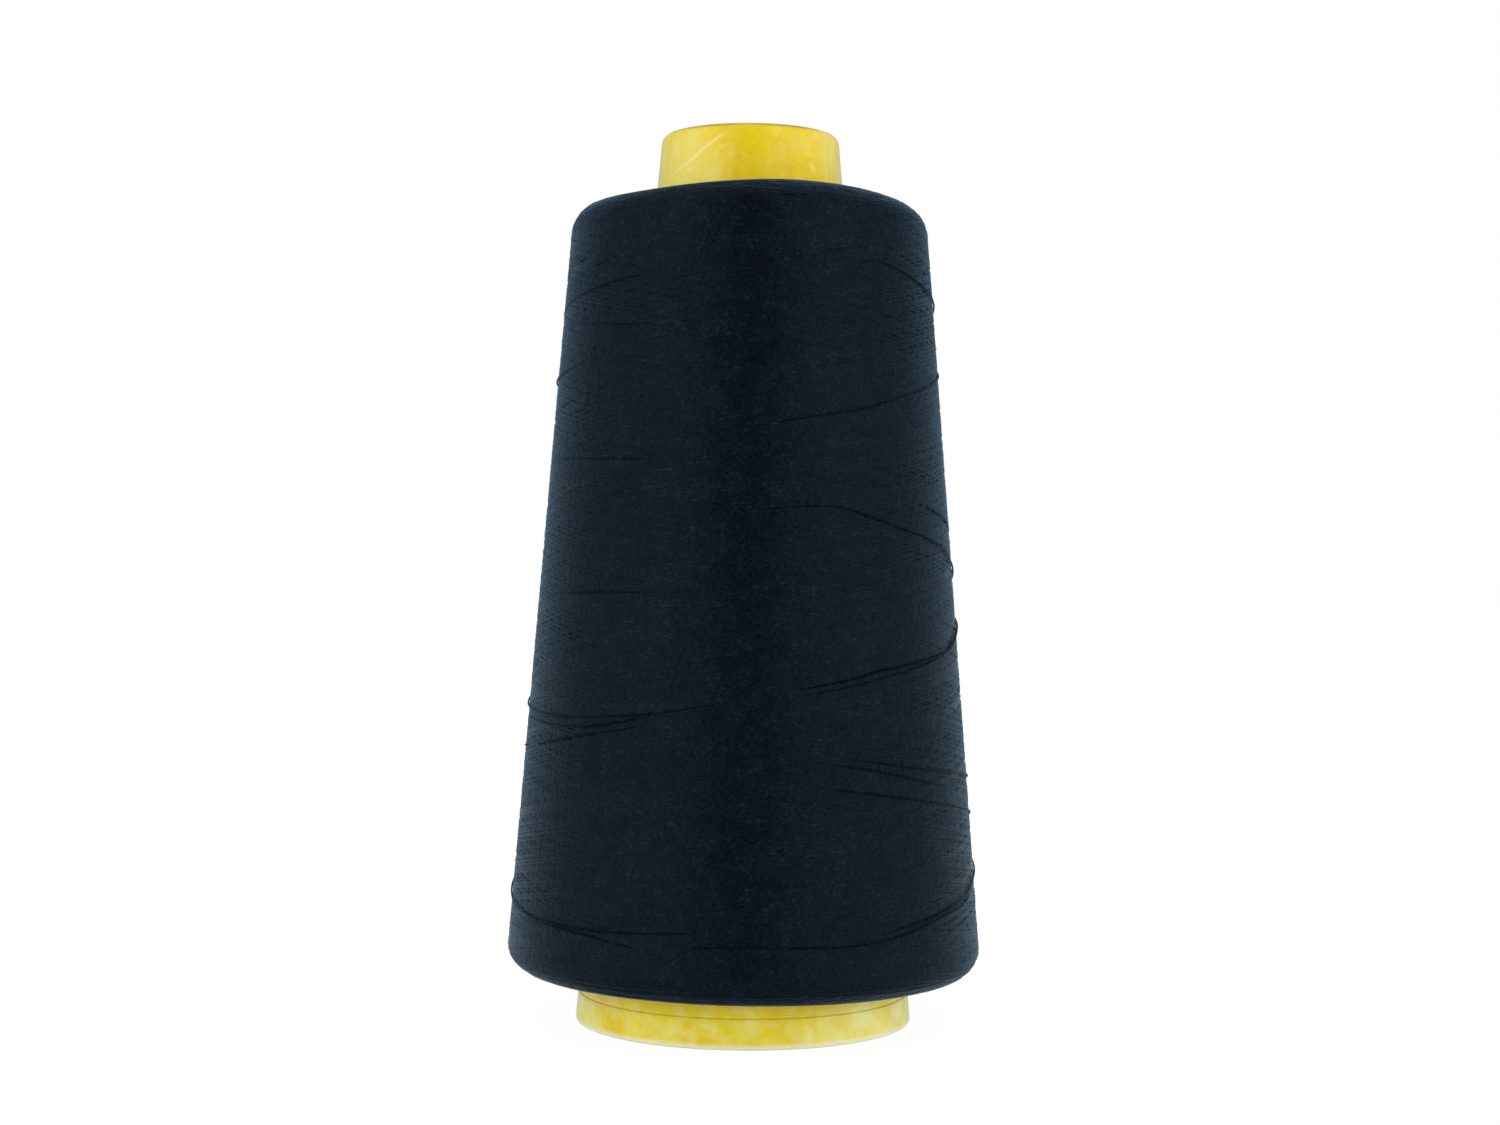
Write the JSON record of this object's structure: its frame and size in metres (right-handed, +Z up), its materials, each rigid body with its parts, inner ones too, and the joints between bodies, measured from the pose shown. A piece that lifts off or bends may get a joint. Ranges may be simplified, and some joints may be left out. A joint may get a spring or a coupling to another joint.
{
  "type": "thread cone",
  "caption": "Tall plastic taper tube with sewing thread cross wound on it, standing on its wide base ring; the thread pays off over the narrow nose.",
  "frame": {"origin": "on the axis, in the plane that the base ring stands on", "axes": "+Z up the axis from the wide base to the nose; X and Y lie in the base plane, and -Y faces the picture's viewer"},
  "size_m": [0.0895, 0.0902, 0.17],
  "materials": {
    "core_plastic": "semi-gloss, slightly translucent",
    "thread": "matt spun thread with a low sheen"
  },
  "bodies": {
    "root": {"cone_core": "core_plastic", "thread_package": "thread", "outer_winding": "thread"}
  },
  "joints": []
}
